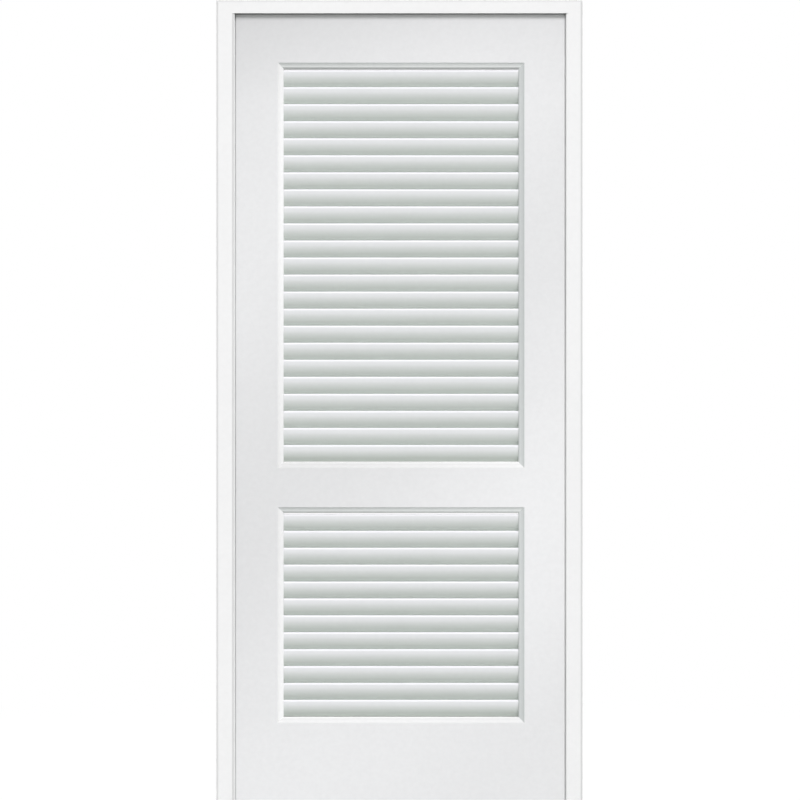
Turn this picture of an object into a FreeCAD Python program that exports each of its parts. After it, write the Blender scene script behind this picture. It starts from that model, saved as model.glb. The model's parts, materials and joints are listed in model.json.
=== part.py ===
import FreeCAD, Part
import math
import os

# Painted wooden door with two louvred panels, hung on butt hinges in a rebated frame.
# Millimetres. X runs from the hinge side to the lock side, Y from the push side to the
# pull side and Z up. The origin is on the outer face of the hinge jamb, at its foot,
# halfway through the depth of the frame.

# Door leaf
leaf_width = 864.0
leaf_height = 2032.0
leaf_thickness = 44.0
hinge_stile_width = 117.0
lock_stile_width = 111.5
top_rail_height = 132.5
lock_rail_height = 101.0
bottom_rail_height = 198.5
lower_panel_height = 556.0
lock_edge_bevel = 3.0  # degrees: the lock edge clears the jamb as it swings
leaf_rebate_depth = 4.0  # of the rebate in the leaf's front edges, beside the stop
leaf_arris = 1.2

# Tenons of the rails, in mortises of the stiles
tenon_length = 45.0
tenon_thickness = 12.0
tenon_shoulder = 20.0

# Rebated frame, with a step down the front of the stops on its legs
hinge_jamb_thickness = 47.0
strike_jamb_thickness = 42.5
head_thickness = 33.0
rebate_depth = 12.0
stop_thickness = 9.0
step_width = 1.6
step_depth = 5.0
arris_width = 5.0  # of the splayed front arrises, on the face of the frame
arris_depth = 2.5

# Gaps round the leaf
edge_gap = 5.5  # at the hinge edge and the top
lock_gap = 7.0
stop_gap = 5.0
shadow_gap = 1.8  # seen from the front between the stop and the raised face of the leaf
floor_gap = 3.0

# Moulded beads that line the two louvred panels
bead_width = 15.0
bead_slope_width = 4.2
bead_slope_fall = 3.2
bead_flat_width = 4.7
bead_flat_fall = 2.1
bead_ovolo_fall = 3.1
bead_ovolo_bulge = 0.6
bead_groove_depth = 10.0  # of the groove along the bottom beads, under the lowest slats
bead_groove_lip = 2.5

# Louvre slats
slat_thickness = 14.5  # at the middle of the crowned faces
slat_edge_radius = 4.0
slat_tilt = 66.5  # degrees from level, front edge high
slat_setback = 9.5  # from each face of the leaf to the slats' edges
slat_spacing = 44.0
slat_head_gap = 3.0  # between the highest slats and the top beads
slat_foot_gap = 1.0  # between the lowest slats, cut off level, and the bottom beads
slat_housing = 6.0
slat_fit = 0.2

# Butt hinges
hinge_height = 89.0
hinge_leaf_depth = 30.0
hinge_leaf_thickness = 2.4
hinge_top_drop = 178.0
hinge_bottom_rise = 279.0
knuckle_count = 3
knuckle_diameter = 12.0
knuckle_end_gap = 0.3
knuckle_face_gap = 0.6  # from the back of the leaf to the knuckles
pin_diameter = 5.9
pin_fit = 0.05  # radial
pin_head_diameter = 9.0
pin_head_height = 3.0
pin_head_chamfer = 1.2
pin_tip = 1.5

overcut = 1.0  # how far a cutting solid runs past the face that it cuts
touch = 1e-4

# Places that follow from the sizes
rebate_left = hinge_jamb_thickness - rebate_depth
leaf_left = rebate_left + edge_gap
leaf_right = leaf_left + leaf_width
rebate_right = leaf_right + lock_gap
doorway_left = hinge_jamb_thickness
doorway_right = rebate_right - rebate_depth
frame_width = doorway_right + strike_jamb_thickness

frame_depth = stop_thickness + stop_gap + leaf_thickness
frame_front = -frame_depth / 2
frame_back = frame_depth / 2
leaf_back = frame_back
leaf_front = leaf_back - leaf_thickness
leaf_middle = (leaf_front + leaf_back) / 2
rebate_front = leaf_front - stop_gap

leaf_bottom = floor_gap
leaf_top = leaf_bottom + leaf_height
rebate_top = leaf_top + edge_gap
frame_top = rebate_top + head_thickness - rebate_depth
doorway_top = frame_top - head_thickness

panel_left = leaf_left + hinge_stile_width
panel_right = leaf_right - lock_stile_width
lower_panel_bottom = leaf_bottom + bottom_rail_height
lower_panel_top = lower_panel_bottom + lower_panel_height
upper_panel_bottom = lower_panel_top + lock_rail_height
upper_panel_top = leaf_top - top_rail_height

# Half the distance between the centres of a slat's two rounded edges, from the depth that the slats fill
slat_lean = math.radians(slat_tilt)
slat_half_core = (leaf_thickness / 2 - slat_setback - slat_edge_radius) / math.cos(slat_lean)
slat_half_rise = slat_half_core * math.sin(slat_lean) + slat_edge_radius
slat_slope = FreeCAD.Vector(0, math.cos(slat_lean), -math.sin(slat_lean))
slat_across = FreeCAD.Vector(0, math.sin(slat_lean), math.cos(slat_lean))
# Crowned faces that run into the rounded edges without a corner
slat_crown_radius = ((slat_half_core ** 2 + (slat_thickness / 2) ** 2 - slat_edge_radius ** 2)
                     / (slat_thickness - 2 * slat_edge_radius))
slat_crown_turn = math.asin(slat_half_core / (slat_crown_radius - slat_edge_radius))

hinge_axis_x = rebate_left + edge_gap / 2
hinge_axis_y = leaf_back + knuckle_face_gap + knuckle_diameter / 2
knuckle_height = hinge_height / knuckle_count
top_hinge_bottom = leaf_top - hinge_top_drop - hinge_height
bottom_hinge_bottom = leaf_bottom + hinge_bottom_rise
hinge_bottoms = {
    "top": top_hinge_bottom,
    "middle": (top_hinge_bottom + bottom_hinge_bottom) / 2,
    "bottom": bottom_hinge_bottom,
}


def point(x, y, z):
    return FreeCAD.Vector(x, y, z)


def block(x0, x1, y0, y1, z0, z1):
    """Rectangular solid between two opposite corners."""
    return Part.makeBox(x1 - x0, y1 - y0, z1 - z0, point(x0, y0, z0))


def prism(points, direction):
    """Solid swept straight from a flat outline."""
    return Part.Face(Part.makePolygon(points + points[:1])).extrude(direction)


def arc(start, middle, end):
    return Part.Arc(start, middle, end).toShape()


def line(start, end):
    return Part.LineSegment(start, end).toShape()


def splay(start, inward, along):
    """Wedge that takes the arris off the front of the frame, from a point on it."""
    front = point(0, -overcut, 0)
    back = point(0, arris_depth, 0)
    outside = inward * -overcut
    return prism([
        start + inward * arris_width,
        start + back,
        start + back + outside,
        start + front + outside,
        start + front + inward * arris_width,
    ], along)


def frame_ring():
    """Frame before it is parted: doorway, steps and rebate cut out, upright and top arrises splayed."""
    doorway = block(doorway_left, doorway_right, frame_front - overcut, frame_back + overcut,
                    -overcut, doorway_top)
    step = block(doorway_left - step_width, doorway_right + step_width,
                 frame_front - overcut, frame_front + step_depth, -overcut, doorway_top)
    rebate = block(rebate_left, rebate_right, rebate_front, frame_back + overcut, -overcut, rebate_top)
    ring = block(0, frame_width, frame_front, frame_back, 0, frame_top).cut([doorway, step, rebate])
    right_way = point(1, 0, 0)
    up = point(0, 0, 1)
    arrises = [
        splay(point(0, frame_front, 0), right_way, up * frame_top),
        splay(point(frame_width, frame_front, 0), right_way * -1, up * frame_top),
        splay(point(doorway_left - step_width, frame_front, 0), right_way * -1, up * doorway_top),
        splay(point(doorway_right + step_width, frame_front, 0), right_way, up * doorway_top),
        splay(point(0, frame_front, frame_top), up * -1, right_way * frame_width),
    ]
    return ring.cut(arrises)


def frame_members():
    """Legs that run to the top of the frame, and a head housed into them."""
    ring = frame_ring()
    y_span = (frame_front - overcut, frame_back + overcut)
    head_space = block(rebate_left, rebate_right, *y_span, doorway_top, frame_top + overcut)
    legs = ring.cut(head_space)
    middle_x = frame_width / 2
    hinge_side = block(-overcut, middle_x, *y_span, -overcut, frame_top + overcut)
    return {
        "hinge_jamb": legs.common(hinge_side),
        "strike_jamb": legs.cut(hinge_side),
        "head_jamb": ring.common(head_space),
    }


def leaf_blank():
    """Leaf before it is parted: bevelled lock edge, rebated front, arrises eased but for those at the foot."""
    shoulder = leaf_front + leaf_rebate_depth
    bevel = (leaf_back - shoulder) * math.tan(math.radians(lock_edge_bevel))
    core = prism([
        point(leaf_left, shoulder, leaf_bottom),
        point(leaf_right - bevel, shoulder, leaf_bottom),
        point(leaf_right, leaf_back, leaf_bottom),
        point(leaf_left, leaf_back, leaf_bottom),
    ], point(0, 0, leaf_height))
    raised_face = block(doorway_left + shadow_gap, doorway_right - shadow_gap, leaf_front, shoulder,
                        leaf_bottom, doorway_top - shadow_gap)
    blank = core.fuse(raised_face).removeSplitter()
    face_edges = [edge for edge in blank.Edges
                  if edge.BoundBox.YMax < leaf_front + touch or edge.BoundBox.YMin > leaf_back - touch]
    arrises = [edge for edge in face_edges if edge.BoundBox.ZMax > leaf_bottom + touch]
    return blank.makeChamfer(leaf_arris, arrises)


def tenons(rail_bottom, rail_top):
    """Both tenons of a rail, centred in the thickness of the leaf."""
    y_span = (leaf_middle - tenon_thickness / 2, leaf_middle + tenon_thickness / 2)
    z_span = (rail_bottom + tenon_shoulder, rail_top - tenon_shoulder)
    return [
        block(panel_left - tenon_length, panel_left, *y_span, *z_span),
        block(panel_right, panel_right + tenon_length, *y_span, *z_span),
    ]


def leaf_members():
    """Full-height stiles, and rails tenoned between them."""
    blank = leaf_blank()
    y_span = (leaf_front - overcut, leaf_back + overcut)
    z_span = (leaf_bottom - overcut, leaf_top + overcut)
    rails = {
        "top_rail": (upper_panel_top, leaf_top),
        "lock_rail": (lower_panel_top, upper_panel_bottom),
        "bottom_rail": (leaf_bottom, lower_panel_bottom),
    }
    all_tenons = []
    members = {}
    for name, (rail_bottom, rail_top) in rails.items():
        rail_tenons = tenons(rail_bottom, rail_top)
        rail = blank.common(block(panel_left, panel_right, *y_span, rail_bottom, rail_top))
        members[name] = rail.fuse(rail_tenons).removeSplitter()
        all_tenons += rail_tenons
    hinge_stile = blank.common(block(leaf_left - overcut, panel_left, *y_span, *z_span))
    lock_stile = blank.common(block(panel_right, leaf_right + overcut, *y_span, *z_span))
    members["hinge_stile"] = hinge_stile.cut(all_tenons)
    members["lock_stile"] = lock_stile.cut(all_tenons)
    return members


def bead_strip(corner, along, inward, length):
    """Moulded strip on one side of a panel, mitred at both ends.

    The section runs inward from the edge of the panel and is moulded alike on both
    faces of the leaf: a slope, a flat and an ovolo.
    """
    slope_end = (bead_slope_width, bead_slope_fall)
    flat_end = (bead_slope_width + bead_flat_width, bead_slope_fall + bead_flat_fall)
    inner_end = (bead_width, flat_end[1] + bead_ovolo_fall)
    ovolo_middle = ((flat_end[0] + inner_end[0]) / 2 + bead_ovolo_bulge / 2,
                    (flat_end[1] + inner_end[1]) / 2 - bead_ovolo_bulge)

    def front(place):
        return corner + inward * place[0] + point(0, leaf_front + place[1], 0)

    def back(place):
        return corner + inward * place[0] + point(0, leaf_back - place[1], 0)

    edge = (0.0, 0.0)
    section = Part.Wire([
        line(front(edge), front(slope_end)),
        line(front(slope_end), front(flat_end)),
        arc(front(flat_end), front(ovolo_middle), front(inner_end)),
        line(front(inner_end), back(inner_end)),
        arc(back(inner_end), back(ovolo_middle), back(flat_end)),
        line(back(flat_end), back(slope_end)),
        line(back(slope_end), back(edge)),
        line(back(edge), front(edge)),
    ])
    strip = Part.Face(section).extrude(along * length)
    start = corner + point(0, leaf_front - overcut, 0)
    mitred = prism([
        start,
        start + along * length,
        start + along * (length - bead_width) + inward * bead_width,
        start + along * bead_width + inward * bead_width,
    ], point(0, leaf_thickness + 2 * overcut, 0))
    return strip.common(mitred)


def slat_place(z, left):
    """Function that gives a point of a slat's end, along and across its slope from its middle."""
    centre = point(left, leaf_middle, z)
    return lambda along, across: centre + slat_slope * along + slat_across * across


def slat(z, left, right):
    """Slat across a panel, centred at height z, with two crowned faces and two rounded edges."""
    place = slat_place(z, left)
    crown = slat_thickness / 2
    edge = slat_half_core + slat_edge_radius
    join_along = slat_half_core + slat_edge_radius * math.sin(slat_crown_turn)
    join_across = slat_edge_radius * math.cos(slat_crown_turn)
    section = Part.Wire([
        arc(place(-join_along, join_across), place(0, crown), place(join_along, join_across)),
        arc(place(join_along, join_across), place(edge, 0), place(join_along, -join_across)),
        arc(place(join_along, -join_across), place(0, -crown), place(-join_along, -join_across)),
        arc(place(-join_along, -join_across), place(-edge, 0), place(-join_along, join_across)),
    ])
    return Part.Face(section).extrude(point(right - left, 0, 0))


def slat_mortise(z, left, right):
    """Room for both ends of a slat, with flat sides that touch its fit all round."""
    place = slat_place(z, left)
    end_turn = math.pi - 2 * slat_crown_turn
    reach = (slat_edge_radius + slat_fit) / math.cos(end_turn / 4)
    crown_along = (slat_crown_radius + slat_fit) * math.tan(slat_crown_turn / 2)
    crown_across = slat_thickness / 2 + slat_fit
    outline = []
    for end in (1, -1):
        for share in (0.25, 0.75):
            angle = slat_crown_turn + share * end_turn
            outline.append(place(end * (slat_half_core + reach * math.sin(angle)), end * reach * math.cos(angle)))
        outline.append(place(end * crown_along, -end * crown_across))
        outline.append(place(-end * crown_along, -end * crown_across))
    return prism(outline, point(right - left, 0, 0))


def slat_heights(panel_bottom, panel_top):
    """Centres of the slats of one panel, evenly spaced down from its top bead to its bottom bead."""
    highest = panel_top - bead_width - slat_head_gap
    height = highest - panel_bottom - bead_width
    count = round(height / slat_spacing)
    return [highest - height * step / count - slat_half_rise for step in range(count)]


def louvre_panel(name, panel_bottom, panel_top):
    """Four mitred beads, and the slats housed in the two upright ones, the lowest cut off level."""
    width = panel_right - panel_left
    height = panel_top - panel_bottom
    lower_left = point(panel_left, 0, panel_bottom)
    upper_right = point(panel_right, 0, panel_top)
    right_way = point(1, 0, 0)
    up = point(0, 0, 1)
    left_bead = bead_strip(lower_left, up, right_way, height)
    right_bead = bead_strip(upper_right, up * -1, right_way * -1, height)

    slat_left = panel_left + bead_width - slat_housing
    slat_right = panel_right - bead_width + slat_housing
    bead_top = panel_bottom + bead_width
    slat_bottom = bead_top + slat_foot_gap
    heights = slat_heights(panel_bottom, panel_top)
    slats = [slat(z, slat_left, slat_right) for z in heights]
    mortises = [slat_mortise(z, slat_left - slat_fit, slat_right + slat_fit) for z in heights]

    def below(level):
        return block(panel_left, panel_right, leaf_front, leaf_back, panel_bottom - slat_half_rise, level)

    slats[-1] = slats[-1].cut(below(slat_bottom))
    mortises[-1] = mortises[-1].cut(below(slat_bottom - slat_fit))
    lip = bead_slope_fall + bead_flat_fall + bead_ovolo_fall + bead_groove_lip
    groove = block(panel_left + bead_width, panel_right - bead_width, leaf_front + lip, leaf_back - lip,
                   bead_top - bead_groove_depth, bead_top + overcut)
    return {
        name + "_left_bead": left_bead.cut(mortises),
        name + "_right_bead": right_bead.cut(mortises),
        name + "_bottom_bead": bead_strip(lower_left, right_way, up, width).cut(groove),
        name + "_top_bead": bead_strip(upper_right, right_way * -1, up * -1, width),
        name + "_slats": Part.makeCompound(slats),
    }


def hinge_plate(x, bottom):
    """Flat square-cornered leaf of a hinge, let in from the back of the door."""
    return block(x, x + hinge_leaf_thickness, leaf_back - hinge_leaf_depth, leaf_back,
                 bottom, bottom + hinge_height)


def hinge_leaf(plate, plate_x, bottom, first_knuckle):
    """Hinge plate with every second knuckle rolled on, bored for the pin."""
    solid = plate
    for index in range(first_knuckle, knuckle_count, 2):
        low = bottom + index * knuckle_height + knuckle_end_gap / 2
        height = knuckle_height - knuckle_end_gap
        web = block(plate_x, plate_x + hinge_leaf_thickness, leaf_back, hinge_axis_y, low, low + height)
        barrel = Part.makeCylinder(knuckle_diameter / 2, height, point(hinge_axis_x, hinge_axis_y, low))
        solid = solid.fuse([web, barrel])
    bore = Part.makeCylinder(pin_diameter / 2 + pin_fit, hinge_height + 2 * overcut,
                             point(hinge_axis_x, hinge_axis_y, bottom - overcut))
    return solid.cut(bore).removeSplitter()


def hinge_pin(bottom):
    """Pin with a chamfered head that sits on the top knuckle."""
    seat = bottom + hinge_height - knuckle_end_gap / 2
    tip = bottom - pin_tip
    axis = point(hinge_axis_x, hinge_axis_y, 0)

    def place(radius, z):
        return axis + point(radius, 0, z)

    shaft_radius = pin_diameter / 2
    head_radius = pin_head_diameter / 2
    head_top = seat + pin_head_height
    section = Part.makePolygon([
        place(0, tip),
        place(shaft_radius, tip),
        place(shaft_radius, seat),
        place(head_radius, seat),
        place(head_radius, head_top - pin_head_chamfer),
        place(head_radius - pin_head_chamfer, head_top),
        place(0, head_top),
        place(0, tip),
    ])
    return Part.Face(section).revolve(axis, point(0, 0, 1), 360)


def build():
    """All pieces by name."""
    pieces = {}
    pieces.update(frame_members())
    pieces.update(leaf_members())
    pieces.update(louvre_panel("upper", upper_panel_bottom, upper_panel_top))
    pieces.update(louvre_panel("lower", lower_panel_bottom, lower_panel_top))
    for name, bottom in hinge_bottoms.items():
        frame_x = rebate_left - hinge_leaf_thickness
        frame_plate = hinge_plate(frame_x, bottom)
        door_plate = hinge_plate(leaf_left, bottom)
        pieces["hinge_jamb"] = pieces["hinge_jamb"].cut(frame_plate)
        pieces["hinge_stile"] = pieces["hinge_stile"].cut(door_plate)
        pieces[name + "_hinge_frame_leaf"] = hinge_leaf(frame_plate, frame_x, bottom, 0)
        pieces[name + "_hinge_door_leaf"] = hinge_leaf(door_plate, leaf_left, bottom, 1)
        pieces[name + "_hinge_pin"] = hinge_pin(bottom)
    return pieces


def main():
    os.makedirs("parts", exist_ok=True)
    for name, shape in build().items():
        shape.exportStep("parts/" + name + ".step")
        print(name, "valid" if shape.isValid() else "INVALID", "solids", len(shape.Solids),
              "volume", round(shape.Volume), "faces", len(shape.Faces))


main()
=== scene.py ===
import json
import math
import bmesh
import bpy
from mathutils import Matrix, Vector


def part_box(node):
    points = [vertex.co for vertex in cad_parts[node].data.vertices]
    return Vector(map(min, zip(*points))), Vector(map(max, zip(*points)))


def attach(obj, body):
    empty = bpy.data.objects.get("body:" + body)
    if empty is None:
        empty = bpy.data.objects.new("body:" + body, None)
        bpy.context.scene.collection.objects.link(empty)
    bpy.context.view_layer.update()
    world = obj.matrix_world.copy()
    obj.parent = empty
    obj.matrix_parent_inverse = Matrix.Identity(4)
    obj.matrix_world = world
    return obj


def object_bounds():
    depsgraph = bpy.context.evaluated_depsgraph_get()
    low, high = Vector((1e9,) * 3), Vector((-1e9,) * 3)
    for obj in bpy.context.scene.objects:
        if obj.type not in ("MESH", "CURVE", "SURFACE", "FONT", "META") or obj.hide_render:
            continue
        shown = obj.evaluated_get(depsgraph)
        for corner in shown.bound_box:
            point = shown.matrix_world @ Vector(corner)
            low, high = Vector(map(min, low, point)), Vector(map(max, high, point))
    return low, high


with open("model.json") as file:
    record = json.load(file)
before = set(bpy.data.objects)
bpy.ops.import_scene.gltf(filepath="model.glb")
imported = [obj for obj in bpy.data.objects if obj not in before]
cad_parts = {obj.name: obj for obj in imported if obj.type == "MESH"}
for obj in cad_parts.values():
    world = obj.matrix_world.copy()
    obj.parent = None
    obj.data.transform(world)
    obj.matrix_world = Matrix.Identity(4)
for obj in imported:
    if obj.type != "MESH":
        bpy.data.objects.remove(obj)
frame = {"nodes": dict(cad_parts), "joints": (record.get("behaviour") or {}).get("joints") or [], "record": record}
cad_low, cad_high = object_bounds()

# Places read from the frame, in metres
front_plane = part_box("hinge_jamb")[0].y
middle_x = (cad_low.x + cad_high.x) / 2
stile_low, stile_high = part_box("hinge_stile")
leaf_left = stile_low.x
leaf_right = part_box("lock_stile")[1].x
leaf_back = stile_high.y
leaf_middle = (stile_low.y + stile_high.y) / 2
leaf_top = stile_high.z
hinge_axis_x = frame["joints"][0]["pos_m"][0]
rebate_left = 2 * hinge_axis_x - leaf_left  # the axis is midway between the rebate and the leaf

# Camera: straight on, at the distance that shows the reveals as the photograph does
camera_distance = 9.0
camera_offset = 0.0015  # to the right of the door's middle
camera_height = 1.0334
view_width = 2.0575  # across the picture, at the front plane of the frame
sensor_width = 36.0  # millimetres

# Light: a soft sun from the upper right, a weaker one from behind, and the sky
plain_white = (1.0, 1.0, 1.0, 1.0)
lamp_colour = (1.0, 0.97, 1.015)
key_from = Vector((0.17, -1.0, 0.87))
key_strength = 2.19
key_spread = math.radians(24.0)
back_from = Vector((-0.5, 1.0, 0.7))
back_strength = 1.5
back_spread = math.radians(40.0)
sky_level = 0.56  # at the horizon
sky_top = 0.7  # at the zenith

# Floor
floor_drop = 0.0005  # below the feet of the frame
floor_half = 30.0  # from its middle to an edge
floor_tone = (0.3, 0.3, 0.3, 1.0)  # for the light that it sends back to the door
floor_glow = 0.9  # share of plain white in its look beside the door
floor_fade = (0.7, 3.0)  # distances over which that share grows to the whole

# Paint in general: broad clouds, finer mottling and the stipple of a roller, with scales per metre
paint_specular = 0.35
cloud_scale = 7.0
cloud_detail = 3.0
cloud_tones = (0.985, 1.01)
cloud_gloss = 0.06  # half the range of the roughness
mottle_scale = 90.0
mottle_detail = 3.0
mottle_per_stipple = 400.0  # half the range of the mottling, for a metre of stipple
stipple_scale = 650.0
stipple_detail = 2.0
stipple_strength = 0.35

# Paint of the frame; its splayed arrises carry painted shade, greyer than its faces, except the inner one of the
# strike jamb, which carries painted light
frame_white = (0.87, 0.887, 0.865)
frame_roughness = 0.42
frame_stipple = 0.00006
right_arris_painted_shade = 0.79  # painted shade, on those that look right
# Painted shade on the arrises that look up
top_arris_painted_shade = 0.72
outer_arris_painted_shade = 0.87  # painted shade, on the one that looks left on the hinge jamb
inner_arris_painted_light = 1.08  # painted light, on the one that looks left on the strike jamb
arris_slant = (-0.98, -0.93)  # Y of the normal, from the faces to the arrises
arris_end = (-0.55, -0.45)  # and from the arrises to the sides
arris_turn = (0.15, 0.3)  # X or Z of the normal, from straight out to slanting

# Paint of the leaf, with painted light and shade: a slow slanting wave, painted light towards the lock edge and
# the foot, painted shade along the top
leaf_white = (0.783, 0.8, 0.786)
leaf_roughness = 0.45
leaf_stipple = 0.00009
leaf_wave = 0.046  # half the range of the slow wave of painted light and shade
leaf_wave_turn = (4.0, 0.0, -4.4)  # radians of that wave in a metre
leaf_wave_start = -0.21  # radians, at the origin
leaf_side_painted_light = 0.065  # painted light: how much paler it is at the lock edge than at the hinge edge
leaf_top_painted_shade = 0.885  # painted shade along the top, beside the rest
leaf_foot_painted_light = 1.035  # painted light along the foot
leaf_end_fade = 0.23  # from the top or the foot to where the tone is plain

# Paint of the beads round the louvres, in lit and shaded copies, one for each side: painted light on the left
# bead, painted shade on the right and bottom ones, a greenish tint of painted shade on the right and top ones;
# their inner lips take painted shade at the top and painted light at the left and the foot, beside the rest of
# them
bead_lit_and_shaded_whites = {
    "left": (0.895, 0.912, 0.89),
    "right": (0.602, 0.637, 0.617),
    "top": (0.81, 0.852, 0.82),
    "bottom": (0.67, 0.684, 0.667),
}
bead_lip_painted_shading = {"left": 1.03, "right": 1.0, "top": 0.77, "bottom": 1.09}
bead_lip_depth = 0.0055  # from the face of the leaf to the lips
bead_lip_fade = 0.0006

# Paint of the slats, with painted light and shade by the way they face; each tone holds where Z of the normal, or
# Y for the backs, is past its span's end
slat_white = (0.828, 0.838, 0.85)
slat_shade_grey = (0.743, 0.801, 0.744)  # painted shade, towards the undersides
slat_grey_span = (-0.08, -0.45)
slat_roughness = 0.4
slat_stipple = 0.00005
slat_crown_painted_light = 1.1  # painted light, where the slats look straight out
slat_crown_span = (-0.3, -0.1)
slat_nose_painted_shade = 0.94  # painted shade, along their upper edges
slat_nose_span = (0.1, 0.4)
slat_shade_tone = 0.92  # painted shade, low on them, where they look down
slat_shade_span = (-0.28, -0.5)
slat_lap_painted_light = 1.2  # painted light beside that, down where the next slat laps them
slat_lap_span = (-0.5, -0.58)
slat_back_painted_shade = 0.83  # painted shade, on their backs
slat_back_span = (0.0, 0.2)

# Satin plated steel of the hinges, brushed upright
steel_tone = (0.54, 0.525, 0.5)
brush_scale = (3000.0, 3000.0, 60.0)
brush_detail = 3.0
brush_tones = (0.85, 1.12)
brush_roughness = (0.28, 0.44)
brush_strength = 0.2
brush_depth = 0.00005

# Hinge screws: raised heads with a cross recess
screw_radius = 0.0039
screw_rise = 0.0009  # of the middle of the head over the plate
screw_sunk = 0.0003  # of the rim below the plate's face
screw_sides = 32
screw_ring_shares = (1.0, 0.92, 0.8, 0.66)  # of the radius
cross_reach = 0.0021
cross_half_width = 0.00055
cross_floor = 0.0001  # over the plate
cross_taper = 0.75  # of the floor's outline, beside the rim's
screw_places = ((0.011, 0.012), (0.021, 0.0445), (0.011, 0.077))  # in from the back edge, up the plate
hinge_names = ("top", "middle", "bottom")


class Nodes:
    """Short way to add and link shader nodes in one tree."""

    def __init__(self, tree):
        self.tree = tree
        tree.nodes.clear()

    def add(self, kind, **values):
        """New node, with values for its sockets and settings."""
        node = self.tree.nodes.new(kind)
        for name, value in values.items():
            if name in node.inputs:
                node.inputs[name].default_value = value
            else:
                setattr(node, name, value)
        return node

    def feed(self, source, socket):
        """Links another node's output to a socket, or sets a plain value on it."""
        if isinstance(source, bpy.types.NodeSocket):
            self.tree.links.new(source, socket)
        else:
            socket.default_value = source

    def math(self, operation, *operands, clamp=False):
        node = self.add("ShaderNodeMath", operation=operation, use_clamp=clamp)
        for operand, socket in zip(operands, node.inputs):
            self.feed(operand, socket)
        return node.outputs[0]

    def product(self, result, *factors):
        for factor in factors:
            result = self.math("MULTIPLY", result, factor)
        return result

    def axes(self, vector):
        """The X, Y and Z of a vector."""
        node = self.add("ShaderNodeSeparateXYZ")
        self.feed(vector, node.inputs[0])
        return node.outputs

    def ranged(self, source, span, result, course="LINEAR"):
        """Value that goes over the result's range as the source goes over its span."""
        node = self.add("ShaderNodeMapRange", interpolation_type=course)
        for socket, value in zip(("From Min", "From Max", "To Min", "To Max"), (*span, *result)):
            node.inputs[socket].default_value = value
        self.feed(source, node.inputs["Value"])
        return node.outputs["Result"]

    def toned(self, mask, tone):
        """Factor that is 1 where the mask is 0, and the tone where the mask is 1."""
        return self.ranged(mask, (0.0, 1.0), (1.0, tone))

    def noise(self, place, scale, detail):
        node = self.add("ShaderNodeTexNoise", Scale=scale, Detail=detail)
        self.feed(place, node.inputs["Vector"])
        return node.outputs["Fac"]

    def mixed(self, factor, first, second):
        """Shader that is the first where the factor is 0, and the second where it is 1."""
        node = self.add("ShaderNodeMixShader")
        for source, socket in zip((factor, first, second), node.inputs):
            self.feed(source, socket)
        return node.outputs[0]

    def show(self, shader, output="ShaderNodeOutputMaterial"):
        self.feed(shader, self.add(output).inputs["Surface"])


def around(middle, half_range):
    return (middle - half_range, middle + half_range)


def new_material(name):
    material = bpy.data.materials.new(name)
    material.use_nodes = True
    return material, Nodes(material.node_tree)


def show_finish(nodes, shader, colour, level, roughness, bump):
    """Gives a shader a colour of uneven level, a roughness and a relief, and shows it."""
    tone = nodes.add("ShaderNodeVectorMath", operation="SCALE")
    nodes.feed(colour, tone.inputs["Vector"])
    nodes.feed(level, tone.inputs["Scale"])
    nodes.feed(tone.outputs["Vector"], shader.inputs["Base Color"])
    nodes.feed(roughness, shader.inputs["Roughness"])
    nodes.feed(bump.outputs["Normal"], shader.inputs["Normal"])
    nodes.show(shader.outputs["BSDF"])


def paint(name, colour, roughness, stipple, shading_rule):
    """Satin paint on wood, stippled and mottled, with painted light and shade by a rule. Its colour may be a rule
    too.
    """
    material, nodes = new_material(name)
    coordinates = nodes.add("ShaderNodeTexCoord").outputs
    place = coordinates["Object"]
    if callable(colour):
        colour = colour(nodes, coordinates)
    cloud = nodes.noise(place, cloud_scale, cloud_detail)
    mottle = nodes.noise(place, mottle_scale, mottle_detail)
    level = nodes.product(
        nodes.ranged(cloud, (0.0, 1.0), cloud_tones),
        nodes.ranged(mottle, (0.0, 1.0), around(1.0, mottle_per_stipple * stipple)),
        shading_rule(nodes, coordinates),
    )
    gloss = nodes.ranged(cloud, (0.0, 1.0), around(roughness, cloud_gloss))
    bump = nodes.add("ShaderNodeBump", Strength=stipple_strength, Distance=stipple)
    nodes.feed(nodes.noise(place, stipple_scale, stipple_detail), bump.inputs["Height"])
    shader = nodes.add("ShaderNodeBsdfPrincipled")
    shader.inputs["Specular IOR Level"].default_value = paint_specular
    show_finish(nodes, shader, colour, level, gloss, bump)
    return material


def frame_painted_arris_shading(nodes, coordinates):
    """Tone of the frame: painted shade on its splayed arrises by the way they face, and painted light on the inner
    one of the strike jamb.
    """
    look = nodes.axes(coordinates["Normal"])
    across = nodes.axes(coordinates["Object"])["X"]
    slanting = nodes.ranged(look["Y"], arris_slant, (0.0, 1.0))
    arris = nodes.product(slanting, nodes.ranged(look["Y"], arris_end, (1.0, 0.0)))
    left_turn = [-part for part in arris_turn]
    right = nodes.product(arris, nodes.ranged(look["X"], arris_turn, (0.0, 1.0)))
    left = nodes.product(arris, nodes.ranged(look["X"], left_turn, (0.0, 1.0)))
    top = nodes.product(arris, nodes.ranged(look["Z"], arris_turn, (0.0, 1.0)))
    outer = nodes.product(left, nodes.ranged(across, (leaf_left, leaf_right), (1.0, 0.0)))
    inner = nodes.product(left, nodes.ranged(across, (leaf_left, leaf_right), (0.0, 1.0)))
    return nodes.product(
        nodes.toned(right, right_arris_painted_shade),
        nodes.toned(outer, outer_arris_painted_shade),
        nodes.toned(inner, inner_arris_painted_light),
        nodes.toned(top, top_arris_painted_shade),
    )


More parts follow.
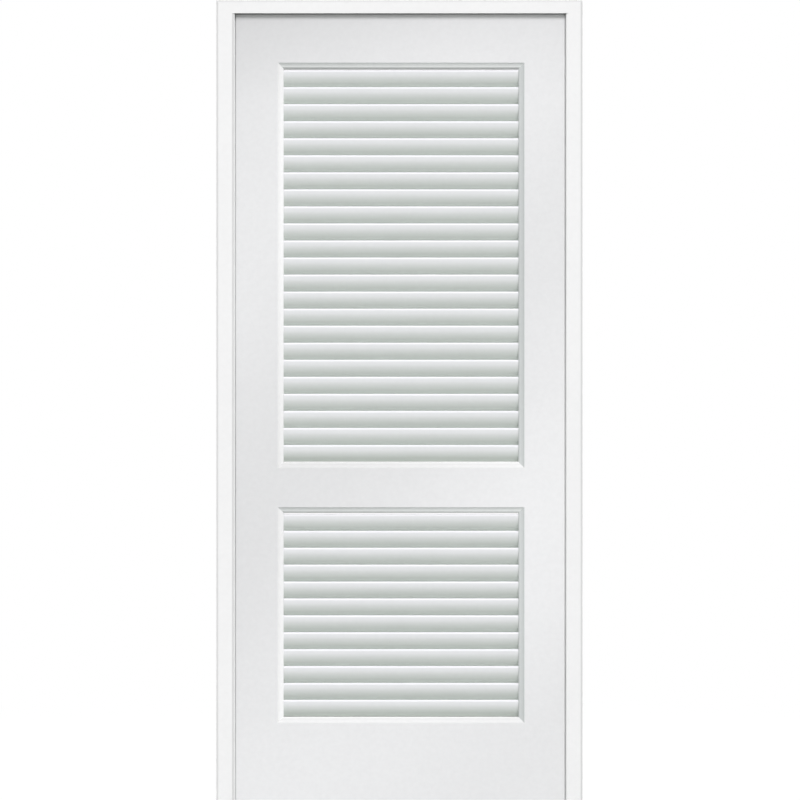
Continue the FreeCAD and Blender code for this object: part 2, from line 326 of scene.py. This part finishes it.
def leaf_painted_shading(nodes, coordinates):
    """Painted light and shade on the leaf: a slow slanting wave, paler to the lock edge and foot, greyer at the
    top.
    """
    slant = nodes.add("ShaderNodeVectorMath", operation="DOT_PRODUCT")
    nodes.feed(coordinates["Object"], slant.inputs[0])
    nodes.feed(leaf_wave_turn, slant.inputs[1])
    swell = nodes.math("COSINE", nodes.math("ADD", slant.outputs["Value"], leaf_wave_start))
    place = nodes.axes(coordinates["Object"])
    return nodes.product(
        nodes.ranged(swell, (-1.0, 1.0), around(1.0, leaf_wave)),
        nodes.ranged(place["X"], (leaf_left, leaf_right), around(1.0, leaf_side_painted_light / 2)),
        nodes.ranged(place["Z"], (leaf_top - leaf_end_fade, leaf_top), (1.0, leaf_top_painted_shade)),
        nodes.ranged(place["Z"], (0.0, leaf_end_fade), (leaf_foot_painted_light, 1.0)),
    )


def bead_rule(lip_tone):
    """Rule for a bead: the leaf's painted light and shade, times a painted shading for its inner lips on the front
    and the back.
    """
    lip_start = leaf_back - leaf_middle - bead_lip_depth

    def bead_tone(nodes, coordinates):
        offset = nodes.math("SUBTRACT", nodes.axes(coordinates["Object"])["Y"], leaf_middle)
        lip_span = (lip_start - bead_lip_fade, lip_start)
        lip = nodes.ranged(nodes.math("ABSOLUTE", offset), lip_span, (1.0, 0.0))
        return nodes.product(leaf_painted_shading(nodes, coordinates), nodes.toned(lip, lip_tone))

    return bead_tone


def slat_painted_shading(nodes, coordinates):
    """Painted light and shade on the slats: palest where they look straight out, greyer on their undersides and
    backs.
    """
    look = nodes.axes(coordinates["Normal"])
    return nodes.product(
        nodes.ranged(look["Z"], slat_crown_span, (1.0, slat_crown_painted_light)),
        nodes.ranged(look["Z"], slat_nose_span, (1.0, slat_nose_painted_shade / slat_crown_painted_light)),
        nodes.ranged(look["Z"], slat_shade_span, (1.0, slat_shade_tone)),
        nodes.ranged(look["Z"], slat_lap_span, (1.0, slat_lap_painted_light)),
        nodes.ranged(look["Y"], slat_back_span, (1.0, slat_back_painted_shade)),
    )


def slat_shaded_colour(nodes, coordinates):
    """Colour of the slats, which goes from white to a greenish grey of painted shade towards their undersides."""
    mix = nodes.add("ShaderNodeMix", data_type="VECTOR")
    down = nodes.ranged(nodes.axes(coordinates["Normal"])["Z"], slat_grey_span, (0.0, 1.0))
    nodes.feed(down, mix.inputs["Factor"])
    # The fourth and fifth inputs, counted from 0, and the first output are the ones for vectors
    nodes.feed(slat_white, mix.inputs[4])
    nodes.feed(slat_shade_grey, mix.inputs[5])
    return mix.outputs[1]


def brushed_steel(name):
    """Satin plated steel, brushed along the length of the hinge."""
    material, nodes = new_material(name)
    stretch = nodes.add("ShaderNodeMapping", Scale=brush_scale)
    nodes.feed(nodes.add("ShaderNodeTexCoord").outputs["Object"], stretch.inputs["Vector"])
    lines = nodes.noise(stretch.outputs["Vector"], 1.0, brush_detail)
    level = nodes.ranged(lines, (0.0, 1.0), brush_tones)
    gloss = nodes.ranged(lines, (0.0, 1.0), brush_roughness)
    bump = nodes.add("ShaderNodeBump", Strength=brush_strength, Distance=brush_depth)
    nodes.feed(lines, bump.inputs["Height"])
    shader = nodes.add("ShaderNodeBsdfPrincipled", Metallic=1.0)
    show_finish(nodes, shader, steel_tone, level, gloss, bump)
    return material


finishes = {
    "frame_paint": paint("frame_paint", frame_white, frame_roughness, frame_stipple, frame_painted_arris_shading),
    "leaf_paint": paint("leaf_paint", leaf_white, leaf_roughness, leaf_stipple, leaf_painted_shading),
    "slat_paint": paint("slat_paint", slat_shaded_colour, slat_roughness, slat_stipple, slat_painted_shading),
    "hinge_steel": brushed_steel("hinge_steel"),
}
# Lit and shaded copies of the leaf's paint, one for each side's bead, with painted light and shade
bead_finishes = {}
for side, white in bead_lit_and_shaded_whites.items():
    rule = bead_rule(bead_lip_painted_shading[side])
    bead_finishes[side] = paint(f"{side}_bead_paint", white, leaf_roughness, leaf_stipple, rule)


def dress_cad_nodes():
    """Each CAD node takes the finish of its slot in the record, and a bead the one of its side."""
    for row in frame["record"]["subparts"]:
        finish = finishes[row["material_slot"]]
        words = row["node"].split("_")
        if words[-1] == "bead":
            finish = bead_finishes[words[1]]
        mesh = frame["nodes"][row["node"]].data
        mesh.materials.clear()
        mesh.materials.append(finish)


def dome_height(x, y):
    """Height of a screw's raised head over the plate."""
    return screw_rise * (1.0 - (x * x + y * y) / screw_radius ** 2)


def add_screw(work, centre, outward):
    """Raised screw head with a cross recess, at a point of a hinge plate's face."""
    across = Vector((0.0, outward, 0.0))
    facing = Vector((outward, 0.0, 0.0))

    def vert(x, y, height):
        return work.verts.new(centre + across * x + Vector((0.0, 0.0, y)) + facing * height)

    def ring(radius, height):
        turns = (2 * math.pi * step / screw_sides for step in range(screw_sides))
        return [vert(radius * math.cos(turn), radius * math.sin(turn), height) for turn in turns]

    def loop(verts):
        pairs = zip(verts, verts[1:] + verts[:1])
        return [work.edges.get(pair) or work.edges.new(pair) for pair in pairs]

    def band(first, second):
        for index in range(len(first)):
            after = (index + 1) % len(first)
            work.faces.new((first[index], first[after], second[after], second[index]))

    rings = [ring(screw_radius, -screw_sunk)]
    for share in screw_ring_shares:
        rings.append(ring(screw_radius * share, dome_height(screw_radius * share, 0.0)))
    for outer, inner in zip(rings, rings[1:]):
        band(outer, inner)
    work.faces.new(rings[0][::-1])

    arm = [
        (cross_reach, -cross_half_width),
        (cross_reach, cross_half_width),
        (cross_half_width, cross_half_width),
    ]
    outline = arm + [(-y, x) for x, y in arm] + [(-x, -y) for x, y in arm] + [(y, -x) for x, y in arm]
    rim = [vert(x, y, dome_height(x, y)) for x, y in outline]
    floor = [vert(x * cross_taper, y * cross_taper, cross_floor) for x, y in outline]
    bmesh.ops.triangle_fill(work, use_beauty=True, edges=loop(rings[-1]) + loop(rim), normal=facing)
    band(rim, floor)
    work.faces.new(floor)


def add_screws(hinge_name, plate, body, face_x, outward):
    """Three screws in one leaf of a hinge."""
    plate_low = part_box(f"{hinge_name}_hinge_door_leaf")[0]
    work = bmesh.new()
    for inset, rise in screw_places:
        add_screw(work, Vector((face_x, leaf_back - inset, plate_low.z + rise)), outward)
    bmesh.ops.recalc_face_normals(work, faces=work.faces)
    name = f"{hinge_name}_hinge_{plate}_screws"
    mesh = bpy.data.meshes.new(name)
    work.to_mesh(mesh)
    work.free()
    mesh.materials.append(finishes["hinge_steel"])
    screws = bpy.data.objects.new(name, mesh)
    bpy.context.scene.collection.objects.link(screws)
    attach(screws, body)


def make_camera():
    """Camera that looks square at the front of the door."""
    optics = bpy.data.cameras.new("camera")
    optics.sensor_width = sensor_width
    optics.lens = sensor_width * camera_distance / view_width
    camera = bpy.data.objects.new("camera", optics)
    camera.location = (middle_x + camera_offset, front_plane - camera_distance, camera_height)
    camera.rotation_euler = (math.pi / 2, 0.0, 0.0)
    bpy.context.scene.collection.objects.link(camera)
    bpy.context.scene.camera = camera


def seen_directly(nodes):
    """1 for camera, glossy and transmission rays, 0 for light that bounces between surfaces."""
    path = nodes.add("ShaderNodeLightPath").outputs
    seen = nodes.math("ADD", path["Is Camera Ray"], path["Is Glossy Ray"])
    return nodes.math("ADD", seen, path["Is Transmission Ray"], clamp=True)


def make_world():
    """White background, with a gentler light on the object that grows towards the zenith."""
    world = bpy.data.worlds.new("studio")
    bpy.context.scene.world = world
    world.use_nodes = True
    nodes = Nodes(world.node_tree)
    height = nodes.axes(nodes.add("ShaderNodeTexCoord").outputs["Generated"])["Z"]
    sky = nodes.add("ShaderNodeBackground", Color=plain_white)
    nodes.feed(nodes.ranged(height, (0.0, 1.0), (sky_level, sky_top)), sky.inputs["Strength"])
    white = nodes.add("ShaderNodeBackground", Color=plain_white, Strength=1.0)
    look = nodes.mixed(seen_directly(nodes), sky.outputs[0], white.outputs[0])
    nodes.show(look, "ShaderNodeOutputWorld")


def make_floor():
    """Pale floor that takes the door's shadow near it and fades to white further off."""
    mesh = bpy.data.meshes.new("floor")
    corners = ((-1, -1), (1, -1), (1, 1), (-1, 1))
    mesh.from_pydata([(x * floor_half, y * floor_half, 0.0) for x, y in corners], [], [(0, 1, 2, 3)])
    floor = bpy.data.objects.new("floor", mesh)
    floor.location = (middle_x, 0.0, -floor_drop)
    bpy.context.scene.collection.objects.link(floor)

    material, nodes = new_material("floor")
    bounce = nodes.add("ShaderNodeBsdfDiffuse", Color=floor_tone)
    matte = nodes.add("ShaderNodeBsdfDiffuse", Color=plain_white)
    white = nodes.add("ShaderNodeEmission", Color=plain_white, Strength=1.0)
    distance = nodes.add("ShaderNodeVectorMath", operation="LENGTH")
    nodes.feed(nodes.add("ShaderNodeTexCoord").outputs["Object"], distance.inputs[0])
    glow = nodes.ranged(distance.outputs["Value"], floor_fade, (floor_glow, 1.0), "SMOOTHSTEP")
    look = nodes.mixed(glow, matte.outputs[0], white.outputs[0])
    nodes.show(nodes.mixed(seen_directly(nodes), bounce.outputs[0], look))
    mesh.materials.append(material)


def make_sun(name, direction, strength, spread):
    """Soft distant lamp that shines from the given direction."""
    lamp = bpy.data.lights.new(name, "SUN")
    lamp.energy = strength
    lamp.angle = spread
    lamp.color = lamp_colour
    sun = bpy.data.objects.new(name, lamp)
    sun.rotation_euler = (-direction).to_track_quat("-Z", "Y").to_euler()
    bpy.context.scene.collection.objects.link(sun)


bpy.context.scene.view_settings.view_transform = "Standard"
dress_cad_nodes()
for hinge in hinge_names:
    add_screws(hinge, "frame", "frame", rebate_left, 1.0)
    add_screws(hinge, "door", "leaf", leaf_left, -1.0)
make_camera()
make_world()
make_floor()
make_sun("key", key_from, key_strength, key_spread)
make_sun("back", back_from, back_strength, back_spread)
